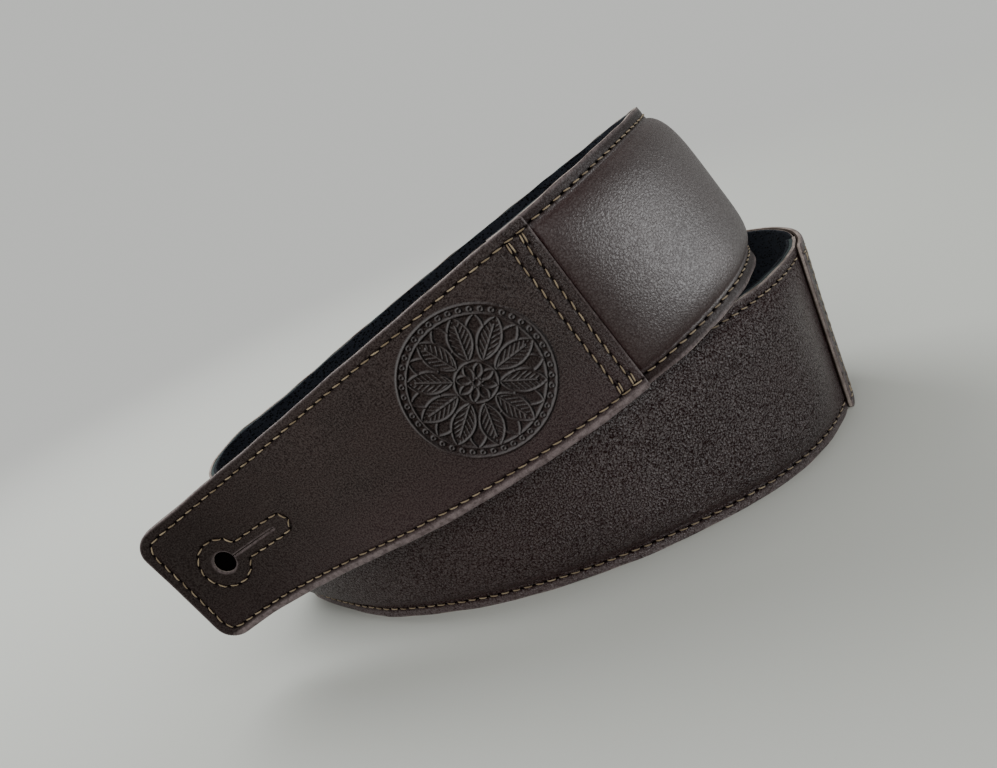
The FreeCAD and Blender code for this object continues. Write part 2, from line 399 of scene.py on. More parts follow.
def needle_slot_shade(from_thread, from_hole):
    """Painted shade at a point: dark in the needle slots between stitches, a little along the thread
    line.
    """
    slot = bump(from_thread, 0.42) * np.clip(1.6 - from_hole, 0, 1)
    return np.clip(slot + 0.45 * bump(from_thread, 0.6), 0, 1)


# ---- outlines of the end pieces ----

def tab_half(s):
    taper = smooth((s - SEAM_AT) / (TOTAL_LENGTH - SEAM_AT))
    return HALF + (TAB_TIP_WIDTH / 2 - HALF) * taper


def tail_half(s):
    taper = smooth(1 - np.asarray(s) / TAIL_TAPER_LENGTH)
    return HALF + (TAIL_TIP_WIDTH / 2 - HALF) * taper


def arc(centre, radius, start, end, steps):
    angles = np.radians(np.linspace(start, end, steps))
    return np.stack([centre[0] + radius * np.cos(angles),
                     centre[1] + radius * np.sin(angles)], axis=1)


def outline(half, low, high, low_corner, high_corner, inset=0.0):
    """The closed outline of an end piece, set in by inset, anticlockwise in (s, v)."""
    low, high = low + inset, high - inset
    low_corner = max(low_corner - inset, SHARP_CORNER)
    high_corner = max(high_corner - inset, SHARP_CORNER)
    spacing = OUTLINE_SPACING
    s = np.arange(low + low_corner, high - high_corner, spacing)
    side = np.stack([s, -(half(s) - inset)], axis=1)
    v_low, v_high = half(low + low_corner) - inset, half(high - high_corner) - inset
    low_steps, high_steps = (max(int(corner * 1.6 / spacing), 4)
                             for corner in (low_corner, high_corner))
    tip = arc((high - high_corner, -v_high + high_corner), high_corner, -90, 0, high_steps)
    end = arc((low + low_corner, -v_low + low_corner), low_corner, 180, 270, low_steps)
    across_high = np.arange(-v_high + high_corner + spacing, 0, spacing)
    across_low = np.arange(-v_low + low_corner + spacing, 0, spacing)[::-1]
    lower = np.vstack([
        np.stack([np.full(len(across_low), low), across_low], axis=1),
        end, side[1:], tip,
        np.stack([np.full(len(across_high), high), across_high], axis=1),
    ])
    return np.vstack([lower, lower[::-1] * (1, -1)])


def keyhole(at, toward, radius, neck, reach):
    """A circle with a straight neck: the button hole and the stitching round it."""
    open_angle = math.degrees(math.asin(min(neck / radius, 1.0)))
    circle = arc((0, 0), radius, open_angle, 360 - open_angle, 40)
    end = reach - neck
    sides = np.arange(radius, end, OUTLINE_SPACING)
    lower = np.stack([sides, np.full(len(sides), -neck)], axis=1)
    cap = arc((end, 0), neck, -90, 90, 9)
    line = np.vstack([circle, lower[1:], cap, lower[1:][::-1] * (1, -1)])
    return line * (toward, 1) + (at, 0)


def button_hole(at, toward, inset):
    """The round hole with its slit, drawn further into the leather by inset."""
    return keyhole(at, toward, HOLE_RADIUS + inset, SLIT_WIDTH / 2 + inset,
                   HOLE_RADIUS + SLIT_LENGTH + inset)


def hole_rings(at, toward):
    return np.vstack([button_hole(at, toward, inset) for inset in (0.0, 1.0)])


def slit(at, toward, inset):
    """The closed cut through the soft backing, under the far part of the button slit."""
    start, reach, half = HOLE_RADIUS + 2.0, HOLE_RADIUS + SLIT_LENGTH, BACKING_CUT / 2 + inset
    run = np.arange(start - inset, reach + inset - 0.3, OUTLINE_SPACING)
    lower = np.stack([run, np.full(len(run), -half)], axis=1)
    line = np.vstack([lower, [(reach + inset, -half), (reach + inset, half)],
                      lower[::-1] * (1, -1)])
    return line * (toward, 1) + (at, 0)


def edge_line(half, seam, end, corner):
    """The stitch line along both sides and round the end of an end piece."""
    toward = 1 if end > seam else -1
    inset = STITCH_MARGIN
    low, high = min(seam, end), max(seam, end)
    corners = (SHARP_CORNER, corner) if toward > 0 else (corner, SHARP_CORNER)
    loop = outline(half, low, high, *corners, inset=inset)
    keep = loop[(loop[:, 0] - seam) * toward > inset + 0.5]
    start = np.argmax(np.hypot(*np.diff(np.vstack([keep, keep[:1]]), axis=0).T)) + 1
    line = np.roll(keep, -start, axis=0)
    first, last = line[0].copy(), line[-1].copy()
    first[0], last[0] = seam + toward * 0.8, seam + toward * 0.8
    return np.vstack([first, line, last])


def seam_lines(seam, toward):
    """Two rows across the overlap, each sewn back over itself at its ends."""
    lines = []
    for distance in SEAM_ROWS:
        s = seam + toward * distance
        lines.append(StitchLine([(s, -STITCH_ROW), (s, STITCH_ROW)]))
        for side in (-1, 1):
            start = (s - toward * 1.0, side * STITCH_ROW)
            end = (s - toward * 1.3, side * (STITCH_ROW - BACKTACK))
            lines.append(StitchLine([start, end]))
    return lines


# ---- flat cut pieces ----

def inside(points, loop):
    """Which points lie inside a closed loop, by counting crossings."""
    result = np.zeros(len(points), bool)
    x, y = points[:, 0], points[:, 1]
    for (x0, y0), (x1, y1) in zip(loop, np.roll(loop, -1, axis=0)):
        if y0 == y1:
            continue
        crosses = (y0 > y) != (y1 > y)
        result ^= crosses & (x < (x1 - x0) * (y - y0) / (y1 - y0) + x0)
    return result


def triangulate(loops, extra):
    """Triangles over (s, v) points inside the first loop and outside the others."""
    points = np.vstack([*loops, extra])
    edges, start = [], 0
    for loop in loops:
        count = len(loop)
        edges += [(start + k, start + (k + 1) % count) for k in range(count)]
        start += count
    result = delaunay_2d_cdt([Vector(p) for p in points.tolist()], edges, [], 0, 1e-5)
    corners, faces, sources = result[0], result[2], result[3]
    flat = np.array([tuple(c) for c in corners])
    faces = np.array([f for f in faces if len(f) == 3])
    middle = flat[faces].mean(axis=1)
    keep = inside(middle, loops[0])
    for loop in loops[1:]:
        keep &= ~inside(middle, loop)
    return flat, faces[keep], sources


def cut_piece(name, ring, holes, lines, fill, front, back, pressed=False):
    """A closed sheet of leather: two triangulated faces joined round every edge.

    ring(inset) and each hole(inset) give the same loop drawn further into the
    leather. front and back give heights for arrays of s and v.
    """
    loops = [ring(0.0)] + [hole(0.0) for hole in holes]
    rings = [(loop(d), d) for d in RING_INSETS for loop in (ring, *holes)]
    border = sum(len(loop) for loop in loops)

    def face(extra, depths, height, toward, flip):
        flat, faces, sources = triangulate(loops, extra)
        inset = np.full(len(flat), FAR_INSIDE)
        all_insets = np.concatenate([np.zeros(border), depths])
        edge_index = np.full(border, -1)
        for index, given in enumerate(sources):
            for point in given:
                inset[index] = min(inset[index], all_insets[point])
                if point < border:
                    edge_index[point] = index
        fall = np.clip(1 - inset / EDGE_ROUNDING, 0, 1)
        drop = EDGE_ROUNDING * (1 - np.sqrt(np.clip(1 - fall ** 2, 0, 1)))
        n = height(flat) - toward * drop
        faces = faces[:, ::-1] if flip else faces
        return flat, n, faces, edge_index, inset

    ring_points = np.vstack([points for points, d in rings])
    ring_depths = np.concatenate([np.full(len(points), d) for points, d in rings])
    sewn = [line.mesh_points() for line in lines]
    extra = np.vstack([ring_points, *sewn, fill])
    depths = np.concatenate([ring_depths, np.full(len(extra) - len(ring_points), FAR_INSIDE)])
    coarse = fill[::4]
    back_extra = np.vstack([ring_points, coarse])
    back_depths = np.concatenate([ring_depths, np.full(len(coarse), FAR_INSIDE)])

    top = face(extra, depths, front, 1, False)
    bottom = face(back_extra, back_depths, back, -1, True)
    flat = np.vstack([top[0], bottom[0]])
    n = np.concatenate([top[1], bottom[1]])
    offset = len(top[0])
    faces = top[2].tolist() + (bottom[2] + offset).tolist()
    kinds = [FACE] * len(top[2]) + [BACK] * len(bottom[2])
    start = 0
    for loop in loops:
        count = len(loop)
        for k in range(count):
            a, b = start + k, start + (k + 1) % count
            if top[3][a] == top[3][b]:
                continue
            quad = (top[3][a], bottom[3][a] + offset, bottom[3][b] + offset, top[3][b])
            faces.append(tuple(int(x) for x in quad))
            kinds.append(EDGE)
        start += count
    strap = np.column_stack([flat, n])
    marks = np.zeros((len(flat), 3))
    needle = needle_slot_shade(*from_stitches(top[0], lines)) if lines else np.zeros(offset)
    rim = np.clip(1 - top[4] / 0.8, 0, 1)
    if pressed:
        # Painted light on the tab's lower margin strip, laid on with the rubbed rim.
        above_strip = tab_half(top[0][:, 0]) - PAINTED_LIGHT_STRIP + top[0][:, 1]
        rim = np.maximum(rim, 0.8 * smooth(-above_strip / 0.9))
        # Painted highlight on the rosette's slopes facing the upper tip corner, painted shade on those
        # facing away, and a darker pressed ground.
        slope = rosette_slope(top[0])
        marks[:offset, 1] = np.clip(-1.5 * slope, 0, 1)
        marks[:offset, 2] = np.clip(1.5 * slope + 0.3 * rosette_disc(top[0]), 0, 1)
    # Painted shade of the needle slots above 0, the rubbed rim with its painted margin light below 0.
    marks[:offset, 0] = np.where(needle > 0.12, needle, -rim)
    return make_piece(name, ribbon.place(flat[:, 0], flat[:, 1], n), faces, strap, kinds, marks)


def grid_fill(half, low, high, spacing, avoid):
    """Even points inside an end piece, clear of its edge and of denser points."""
    s = np.arange(low + 2.0, high - 2.0, spacing)
    v = np.arange(-HALF, HALF, spacing)
    grid = np.stack(np.meshgrid(s, v), axis=-1).reshape(-1, 2)
    grid[:, 1] += (np.round((grid[:, 0] - low) / spacing) % 2) * spacing / 2
    grid = grid[np.abs(grid[:, 1]) < half(grid[:, 0]) - 1.8]
    far = distances(grid, avoid) > spacing * 0.75
    return grid[far]


# ---- the pressed rosette ----

def rosette(points):
    """Depth of the pressed pattern, 0 to 1, at each (s, v) point."""
    x, y = points[:, 0] - ROSETTE_AT, points[:, 1] - ROSETTE_ACROSS
    r, angle = np.hypot(x, y), np.arctan2(y, x)
    depth = np.zeros(len(points))

    def draw(distance, width, strength=1.0, where=True):
        nonlocal depth
        depth = np.maximum(depth, np.where(where, strength * bump(distance, width), 0))

    def petals(count, phase, start, end, width, hatch):
        nonlocal depth
        turn = 2 * math.pi / count
        local = (angle + phase + turn / 2) % turn - turn / 2
        along, side = r * np.cos(local), np.abs(r * np.sin(local))
        t = np.clip((along - start) / (end - start), 0, 1)
        reach = width * np.sin(np.pi * t) ** 0.75
        within = (along > start) & (along < end)
        draw(side - reach, 0.42, 1.0, within)
        if hatch:
            draw(side, 0.34, 0.8, within & (t < 0.82))
            lines = np.abs((along - side * 1.1) % 2.1 - 1.05)
            draw(lines, 0.26, 0.55, within & (side < reach - 0.7) & (side > 0.5))
        return within & (side < reach)

    # two rings with beads between them
    for radius in (ROSETTE_RADIUS - 0.8, ROSETTE_RADIUS - 4.2):
        draw(r - radius, 0.45)
    beads = 44
    turn = 2 * math.pi / beads
    local = (angle + turn / 2) % turn - turn / 2
    bead = np.hypot(r * np.cos(local) - (ROSETTE_RADIUS - 2.5), r * np.sin(local))
    draw(bead - 0.75, 0.3, 0.8)
    # veined petals, with plain ones behind them
    front = petals(10, 0.0, 8.2, 24.2, 4.1, True)
    before = depth.copy()
    petals(10, math.pi / 10, 13.5, 24.2, 3.0, False)
    depth = np.where(front, before, depth)
    # a small flower in a ring
    draw(r - 7.6, 0.45)
    petals(8, 0.0, 1.6, 7.2, 1.5, False)
    draw(r - 1.3, 0.4, 1.0)
    return depth


def rosette_slope(points):
    """How steeply the pattern rises toward the upper tip corner at each point, for its painted
    highlight and shade.
    """
    step = np.array([0.6, 0.8]) * 0.22
    return rosette(points + step) - rosette(points - step)


def rosette_disc(points):
    """How far the pressed ground of the pattern is sunk, 0 to 1."""
    r = np.hypot(points[:, 0] - ROSETTE_AT, points[:, 1] - ROSETTE_ACROSS)
    return smooth((ROSETTE_RADIUS + 0.6 - r) / 2.4)


def rosette_fill(spacing=0.34):
    reach = ROSETTE_RADIUS + 1.0
    steps = np.arange(-reach, reach, spacing)
    grid = np.stack(np.meshgrid(steps, steps), axis=-1).reshape(-1, 2)
    grid[:, 0] += (np.round(grid[:, 1] / spacing) % 2) * spacing / 2
    grid = grid[np.hypot(*grid.T) < reach]
    return grid + (ROSETTE_AT, ROSETTE_ACROSS)


# ---- thread ----

def add_stitching(name, body, lines, height, thread):
    """One piece for a row of stitches: each is a short twisted cord that dives in."""
    rounds, sides = 9, 8
    t = np.linspace(0, 1, rounds)
    angles = np.linspace(0, 2 * math.pi, sides, endpoint=False)
    corners, faces, strap = [], [], []
    number = 0
    for line in lines:
        for a, b in line.stitches:
            a, b = np.array(a), np.array(b)
            number += 1
            rng = random.Random(number * 7919)
            direction = (b - a) / np.hypot(*(b - a))
            side = np.array([-direction[1], direction[0]])
            slant = THREAD_SLANT + rng.uniform(-0.10, 0.10)
            reach = THREAD_REACH + rng.uniform(-0.03, 0.03)
            middle = (a + b) / 2 + side * rng.uniform(-0.10, 0.10)
            length = np.hypot(*(b - a)) * reach
            lift = THREAD_ARCH + rng.uniform(-0.06, 0.06)
            base = len(corners) * rounds * sides
            run = 2 * t - 1
            path = middle + np.outer(run * length, direction) + np.outer(run * slant, side)
            arch = lift * (1 - np.abs(run) ** 3.2) - 0.42 * np.abs(run) ** 6
            width = THREAD_RADIUS * (1 - 0.35 * np.abs(run) ** 4)
            twist = 2.4 * run[:, None] + angles[None, :]
            lobes = 1 + 0.10 * np.cos(2 * twist)
            sideways = width[:, None] * lobes * np.cos(angles)[None, :]
            upward = width[:, None] * 0.8 * lobes * np.sin(angles)[None, :]
            spread = sideways[..., None] * side[None, None, :]
            flat = (path[:, None, :] + spread).reshape(-1, 2)
            n = height(flat) + np.repeat(arch, sides) + upward.ravel()
            corners.append(ribbon.place(flat[:, 0], flat[:, 1], n))
            tone = rng.random()
            strap.append(np.column_stack([
                np.repeat(run * length, sides) + number * 9.0,
                np.tile(angles, rounds),
                np.full(rounds * sides, tone)]))
            for i in range(rounds - 1):
                for k in range(sides):
                    m = (k + 1) % sides
                    faces.append((base + i * sides + k, base + i * sides + m,
                                  base + (i + 1) * sides + m, base + (i + 1) * sides + k))
            faces.append(tuple(reversed(range(base, base + sides))))
            last = base + (rounds - 1) * sides
            faces.append(tuple(range(last, last + sides)))
    piece = make_piece(f"{name}_thread", np.vstack(corners), faces, np.vstack(strap))
    finish_piece(piece, body, [thread], f"{name}_stitching")


# ---- materials ----

class Paint:
    """One node material, with short ways to add and join its nodes."""

    def __init__(self, name, **shader):
        self.material = bpy.data.materials.new(name)
        self.material.use_nodes = True
        self.tree = self.material.node_tree
        self.shader = self.tree.nodes["Principled BSDF"]
        self.base = None
        for key, value in shader.items():
            self.shader.inputs[key.replace("_", " ")].default_value = value
        attribute = self.add("ShaderNodeAttribute", attribute_name="strap")
        self.strap = attribute.outputs["Vector"]
        marks = self.add("ShaderNodeAttribute", attribute_name="marks")
        marks = self.add("ShaderNodeSeparateXYZ", {0: marks.outputs["Vector"]})
        # The marks: painted shade of the needle slots, the rubbed rim with the painted light of the
        # tab's lower margin strip, and the painted highlight and painted shade on the rosette's
        # slopes.
        self.dark = self.math("MAXIMUM", marks.outputs[0], 0.0)
        self.rim = self.times(self.math("MINIMUM", marks.outputs[0], 0.0), -1.0)
        self.lit, self.shade = marks.outputs[1], marks.outputs[2]

    def add(self, kind, values=(), **settings):
        node = self.tree.nodes.new(kind)
        for key, value in settings.items():
            setattr(node, key, value)
        for key, value in dict(values).items():
            if isinstance(value, bpy.types.NodeSocket):
                self.tree.links.new(value, node.inputs[key])
            else:
                node.inputs[key].default_value = value
        return node

    def set(self, name, socket):
        self.tree.links.new(socket, self.shader.inputs[name])

    def stretched(self, s=1.0, v=1.0, n=1.0):
        """The strap's coordinates, with each one scaled."""
        return self.add("ShaderNodeVectorMath", {0: self.strap, 1: (s, v, n)},
                        operation="MULTIPLY").outputs[0]

    def noise(self, scale, detail=4.0, rough=0.55, vector=None):
        values = {"Vector": vector or self.strap, "Scale": scale, "Detail": detail,
                  "Roughness": rough}
        return self.add("ShaderNodeTexNoise", values).outputs["Fac"]

    def cells(self, scale, feature="F1", vector=None):
        return self.add("ShaderNodeTexVoronoi", {"Vector": vector or self.strap, "Scale": scale},
                        feature=feature).outputs["Distance"]

    def math(self, operation, a, b=0.0):
        return self.add("ShaderNodeMath", {0: a, 1: b}, operation=operation).outputs[0]

    def times(self, a, b):
        return self.math("MULTIPLY", a, b)

    def spread(self, value, low, high, to_low=0.0, to_high=1.0):
        """Maps low..high to to_low..to_high and holds the ends."""
        return self.add("ShaderNodeMapRange", {
            "Value": value, "From Min": low, "From Max": high,
            "To Min": to_low, "To Max": to_high}).outputs["Result"]

    def mix(self, share, a, b):
        node = self.add("ShaderNodeMix", data_type="RGBA")
        for key, value in ((0, share), (6, a), (7, b)):
            if isinstance(value, bpy.types.NodeSocket):
                self.tree.links.new(value, node.inputs[key])
            else:
                node.inputs[key].default_value = (*value, 1.0) if key else value
        return node.outputs[2]

    def coat(self, share, paint, strength=1.0):
        """Lays a colour over the base colour where share, times strength, is high."""
        if strength != 1.0:
            share = self.times(share, strength)
        self.base = self.mix(share, self.base, paint)

    def parts(self):
        node = self.add("ShaderNodeSeparateXYZ", {0: self.strap})
        return node.outputs[0], node.outputs[1], node.outputs[2]

    def finish(self, *layers):
        """Joins the base colour and a chain of bumps, each (height, depth in mm)."""
        self.set("Base Color", self.base)
        normal = None
        for height, depth in layers:
            values = {"Height": height, "Distance": depth * MM, "Strength": 1.0}
            if normal is not None:
                values["Normal"] = normal
            normal = self.add("ShaderNodeBump", values).outputs["Normal"]
        self.set("Normal", normal)
        return self.material


def end_leather_paint():
    """Oil-tanned leather: fine speckled grain, faint scuffs, rims rubbed pale, painted light on the
    tab's lower margin strip, painted shade in the needle slots, and a painted highlight and painted
    shade on the pressed rosette's slopes.
    """
    p = Paint("end leather", IOR=1.45)
    s, v = p.parts()[:2]
    mottle = p.noise(0.035, 5, 0.6)
    grain = p.spread(p.noise(1.5, 2, 0.75), 0.34, 0.66)
    p.base = p.mix(p.spread(mottle, 0.35, 0.68), (0.0150, 0.0062, 0.0056), (0.0300, 0.0155, 0.0142))
    p.coat(p.spread(v, -4, -34, 0.0, 0.7), (0.046, 0.0215, 0.0250))
    p.coat(p.math("POWER", grain, 1.6), (0.060, 0.040, 0.036), 0.65)
    p.coat(p.spread(grain, 0.0, 0.45, 0.65, 0.0), (0.0050, 0.0020, 0.0018))
    lines = p.noise(0.28, 2, 0.5, p.stretched(0.22, 1.6, 1))
    scuffs = p.times(p.spread(lines, 0.62, 0.74), p.spread(p.noise(0.06, 2), 0.48, 0.62))
    p.coat(scuffs, (0.10, 0.08, 0.072), 0.16)
    tip = p.spread(s, TOTAL_LENGTH - 85, TOTAL_LENGTH - 25)
    p.coat(tip, (0.006, 0.0035, 0.0028), 0.5)
    # Painted shade on the rosette's slopes facing away from the upper tip corner and a darker pressed
    # ground, then a painted highlight on the slopes facing it.
    p.coat(p.shade, (0.0012, 0.0008, 0.0007))
    p.coat(p.lit, (0.20, 0.19, 0.197), 0.72)
    # The rubbed pale rim, with the painted light of the tab's lower margin strip.
    rim = p.times(p.rim, p.spread(p.noise(0.45, 3, 0.7), 0.36, 0.60, 0.35, 1.0))
    p.coat(rim, (0.27, 0.215, 0.218), 0.9)
    # Painted shade in the needle slots and along the thread lines, with less sheen there.
    p.coat(p.dark, (0.0008, 0.0006, 0.0005), 0.94)
    # Sheen follows the grain, is lower near the tip and on the painted-shade slopes, and is raised as
    # a painted glint on the rosette's highlighted slopes.
    shine = p.times(p.spread(grain, 0.1, 0.9, 0.14, 0.46), p.spread(tip, 0, 1, 1.0, 0.6))
    shine = p.times(shine, p.spread(p.shade, 0, 1, 1.0, 0.1))
    shine = p.math("ADD", shine, p.times(p.lit, 0.45))
    p.set("Specular IOR Level", p.times(shine, p.math("SUBTRACT", 1.0, p.dark)))
    p.set("Roughness", p.spread(mottle, 0.3, 0.7, 0.40, 0.54))
    return p.finish((grain, 0.16), (p.noise(0.32, 3), 0.14))


def edge_paint():
    """Raw cut edge: pale lilac-brown fibres, darker where it was rubbed."""
    p = Paint("cut leather edge", Roughness=0.9, IOR=1.4, Specular_IOR_Level=0.15)
    fibres = p.noise(1.3, 5, 0.7)
    patches = p.noise(0.10, 3)
    p.base = p.mix(p.spread(fibres, 0.3, 0.7), (0.30, 0.245, 0.225), (0.66, 0.565, 0.520))
    p.coat(p.spread(patches, 0.42, 0.68, 0.0, 0.75), (0.075, 0.055, 0.050))
    return p.finish((fibres, 0.35), (p.noise(4.0, 3), 0.12))


def backing_paint():
    """Flesh side of the leather: napped and dull."""
    p = Paint("leather flesh side", Roughness=0.95, IOR=1.4, Specular_IOR_Level=0.12)
    nap = p.noise(0.8, 5, 0.75)
    p.base = p.mix(p.spread(nap, 0.3, 0.7), (0.050, 0.036, 0.030), (0.115, 0.087, 0.073))
    p.coat(p.spread(p.noise(0.05, 3), 0.35, 0.65, 0, 0.5), (0.045, 0.031, 0.025))
    return p.finish((nap, 0.30), (p.noise(2.6, 4), 0.15))


def shaded_paint():
    """Painted shade: the flesh side seen through the button holes, painted near black as deep shade.
    """
    return Paint("shaded flesh side", Base_Color=(0.0020, 0.0016, 0.0015, 1.0), Roughness=1.0,
                 Specular_IOR_Level=0.0).material


def pad_leather_paint():
    """Garment leather over the padding: pebbled grain with a soft broad sheen."""
    p = Paint("pad leather", IOR=1.5)
    s, v, n = p.parts()
    mottle = p.noise(0.03, 4, 0.55)
    pebbles = p.spread(p.cells(0.78, "DISTANCE_TO_EDGE"), 0.0, 0.30)
    fine = p.spread(p.noise(1.4, 2, 0.75), 0.34, 0.66)
    grain = p.math("ADD", p.times(pebbles, 0.38), p.times(fine, 0.62))
    p.base = p.mix(p.spread(mottle, 0.35, 0.65), (0.0260, 0.0068, 0.0070), (0.0380, 0.0128, 0.0128))
    front = p.spread(s, *SHEEN_CHANGE)
    contrast = p.spread(front, 0.0, 1.0, 0.8, 0.3)
    raised = p.spread(n, 0.6, 4.8)
    p.coat(raised, (0.022, 0.015, 0.0142), 0.35)
    # Grain tone: pebble tops lighter and creases darker; the dark in the creases is partly painted
    # shade. Both are weaker on the upper front.
    p.coat(p.times(p.spread(grain, 0.45, 0.95), contrast), (0.066, 0.040, 0.040))
    p.coat(p.times(p.spread(grain, 0.10, 0.48, 1.0, 0.0), contrast), (0.0090, 0.0018, 0.0018))
    across = p.math("ABSOLUTE", v)
    # Painted shade on the flat margin at the padding's foot on the upper front, with less sheen there.
    margin = p.times(p.spread(across, 32.2, 33.6), p.spread(s, *MARGIN_CHANGE))
    p.coat(margin, (0.010, 0.0060, 0.0050), 0.6)
    # Painted light on the lower front's lower margin, fading out toward the upper front, laid on with
    # the pale rim.
    lower_margin_light = p.times(p.spread(v, -34.6, -35.6), p.spread(s, *MARGIN_CHANGE, 0.6, 0.0))
    rim = p.times(p.math("MAXIMUM", p.spread(across, 36.4, 37.5), lower_margin_light),
                  p.spread(p.noise(0.5, 3, 0.7), 0.34, 0.60, 0.25, 1.0))
    p.coat(rim, (0.21, 0.165, 0.168), 0.85)
    # Painted shade in the needle slots and along the thread lines, with less sheen there.
    p.coat(p.dark, (0.0008, 0.0006, 0.0005), 0.94)
    low = p.spread(front, 0.0, 1.0, 0.06, 0.40)
    sparkle = p.times(p.spread(grain, 0.22, 0.78), p.spread(front, 0.0, 1.0, 0.90, 0.38))
    shine = p.math("ADD", low, sparkle)
    shine = p.times(shine, p.spread(margin, 0, 1, 1.0, 0.3))
    shine = p.times(shine, p.spread(s, TAIL_SEAM_AT, TAIL_SEAM_AT + 110, 0.42, 0.84))
    shine = p.times(shine, p.spread(front, 0.0, 1.0, 1.0, 1.12))
    p.set("Specular IOR Level", p.times(shine, p.math("SUBTRACT", 1.0, p.dark)))
    rough = p.spread(p.noise(0.5, 3), 0.3, 0.7, 0.35, 0.43)
    p.set("Roughness", p.math("ADD", rough, p.times(front, 0.10)))
    relief = p.times(grain, p.spread(front, 0.0, 1.0, 2.3, 0.55))
    return p.finish((relief, 0.22), (p.noise(0.6, 3, 0.6), 0.06))


def foam_paint(name, dark, light):
    p = Paint(name, Roughness=0.95, Specular_IOR_Level=0.1)
    bubbles = p.cells(2.6)
    p.base = p.mix(p.spread(bubbles, 0.1, 0.6), dark, light)
    return p.finish((bubbles, 0.25))


def mesh_paint():
    """Knitted spacer mesh: rows of small dark cells in a napped black fabric."""
    p = Paint("black mesh", Roughness=0.9, Specular_IOR_Level=0.12)
    cells = p.cells(0.62, "F1", p.stretched(1.0, 1.5, 1.0))
    holes = p.spread(cells, 0.18, 0.42)
    lint = p.spread(p.noise(2.2, 2, 0.6), 0.62, 0.72)
    p.base = p.mix(holes, (0.0015, 0.0015, 0.002), (0.017, 0.020, 0.028))
    p.coat(lint, (0.07, 0.075, 0.09), 0.25)
    return p.finish((holes, 0.5), (p.noise(3.0, 3), 0.15))


def thread_paint():
    """Waxed tan thread with two plies; each stitch has its own tone."""
    p = Paint("tan thread", Roughness=0.6, Specular_IOR_Level=0.3, Sheen_Weight=0.15)
    tone = p.parts()[2]
    fibres = p.noise(5.0, 3, 0.6)
    p.base = p.mix(tone, (0.24, 0.172, 0.100), (0.52, 0.405, 0.262))
    p.coat(p.spread(fibres, 0.35, 0.7, 0, 0.5), (0.085, 0.056, 0.032))
    return p.finish((fibres, 0.08))


def bend_span(body):
    """Two points at an end piece's joint: where the padded part stops beside it, and one BEND_LENGTH
    further on.
    """
    if body == "tab":
        return ribbon.place([PAD_END, PAD_END + BEND_LENGTH], 0, 0).tolist()
    start = ribbon.place(PAD_START, 0, 0)[0]
    return start.tolist(), (start + np.array(TAIL_SIDE) * BEND_LENGTH * MM).tolist()


def finish_piece(piece, body, paints, node):
    for paint in paints:
        piece.data.materials.append(paint)
    if body == "strap":
        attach(piece, body)
    else:
        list(bend_span(body))
        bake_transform(piece)
    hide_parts(node)


# ---- pieces ----

def pad_rise(s):
    """Share of the full padding height: quick at the tab's seam, slow at the tail's."""
    tail, front = s - TAIL_SEAM_AT, SEAM_AT - s
    x = np.clip(front / PAD_END_RISE, 0.0, 1.0)
    rise = np.minimum(0.38 + 0.62 * np.sqrt(1 - (1 - x) ** 2.4), smooth(tail / TAIL_RISE))
    return np.where(np.minimum(tail, front) > 0.2, rise, 0.0)


def crown_share(v):
    """How high the padding stands across the strap, as a share of its crown."""
    x = np.clip(np.abs(v) / PAD_HALF, 0, 1)
    return (1 - x ** CROWN_POWER) ** CROWN_ROUND


def pad_sewing(s, v):
    """Distance across from a stitch row, phase and distance along it, and where it is sewn."""
    line = np.abs(v) - STITCH_ROW
    phase = (s - PAD_SEWN[0]) / PAD_PITCH % 1
    from_hole = np.minimum(phase, 1 - phase) * STITCH_PITCH
    return line, phase, from_hole, (s > TAIL_SEAM_AT) & (s < SEAM_AT)


def pad_sway(s):
    """How the cover and its thread wander in and out together along the strap."""
    return waves(s, 4, (37, 61, 90), 0.12)


def pad_surface(s, v):
    """Height of the cover's outer face above the flat margin."""
    crown = np.sqrt(crown_share(v) ** 2 + CROWN_FOOT ** 2) - CROWN_FOOT
    crown = crown / (math.hypot(1, CROWN_FOOT) - CROWN_FOOT)
    height = PAD_CROWN * crown * pad_rise(s)
    uneven = ripples(s, v, 11, 55, 0.28) * crown + pad_sway(s)
    line, phase, from_hole, between_seams = pad_sewing(s, v)
    sewn = -0.20 * bump(line, 0.75) - 0.45 * bump(from_hole, 0.5) * bump(line, 0.55)
    pucker = -0.10 * np.cos(2 * np.pi * phase) * bump(line + 2.0, 1.1)
    margin = waves(s + v, 8, (23, 41, 67), 0.22) * smooth((np.abs(v) - 34.0) / 4)
    return height + np.where(between_seams, uneven + sewn + pucker + margin, 0.0)


def pad_marks(s, v):
    """Painted shade in the needle slots along the cover's two stitch rows."""
    line, phase, from_hole, between_seams = pad_sewing(s, v)
    return np.where(between_seams, needle_slot_shade(line, from_hole), 0.0)


def pad_stations():
    low, high = PAD_SEWN
    return np.concatenate([[PAD_START, PAD_START + 5, TAIL_SEAM_AT - 1.0, TAIL_SEAM_AT,
                            TAIL_SEAM_AT + 0.25],
                           np.arange(low, high, PAD_PITCH / 8),
                           [high, SEAM_AT - 0.25, SEAM_AT, SEAM_AT + 1.0, PAD_END - 5, PAD_END]])


COVER_COLUMNS = (0, 5, 10, 14, 18, 21.5, 24.5, 27, 28.8, 30.2, 31.2, 32.0, 32.5, 32.9, 33.3, 33.6,
                 33.8, 34.0, 34.3, 34.7, 35.2, 36.0, 36.8, 37.4)
LINING_COLUMNS = (0, 8, 16, 24, 29, 31.5, 33.0, 33.8, 34.6, 35.8, 37.2)


def mirrored(columns):
    right = np.array(columns)
    return np.concatenate([-right[:0:-1], right])


def to_rim(columns, half):
    """The columns of one section, the outermost ones moved next to its uneven rim."""
    v = columns.copy()
    v[0], v[-1] = -(half - 0.15), half - 0.15
    return v


